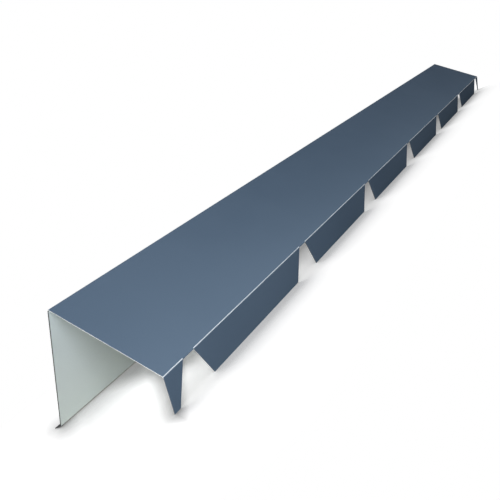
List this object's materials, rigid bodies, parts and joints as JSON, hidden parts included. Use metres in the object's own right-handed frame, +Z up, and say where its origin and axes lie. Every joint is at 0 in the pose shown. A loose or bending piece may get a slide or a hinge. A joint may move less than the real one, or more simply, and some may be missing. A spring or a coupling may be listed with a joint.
{
  "type": "roof ridge cap",
  "caption": "Folded steel cap for the top edge of a single-pitch roof, with a broad flange, a toothed apron that fits between roof ribs, and a wall leg with a drip kick.",
  "frame": {"origin": "middle of the cap's footprint on the floor that it lies on, at mid-length", "axes": "+X along the ridge, -Y to the toothed apron, +Y to the wall leg, +Z up from the floor"},
  "size_m": [2.1, 0.2766, 0.1699],
  "materials": {
    "coated_steel": "satin"
  },
  "bodies": {
    "root": {"ridge_cap": "coated_steel"}
  },
  "joints": []
}
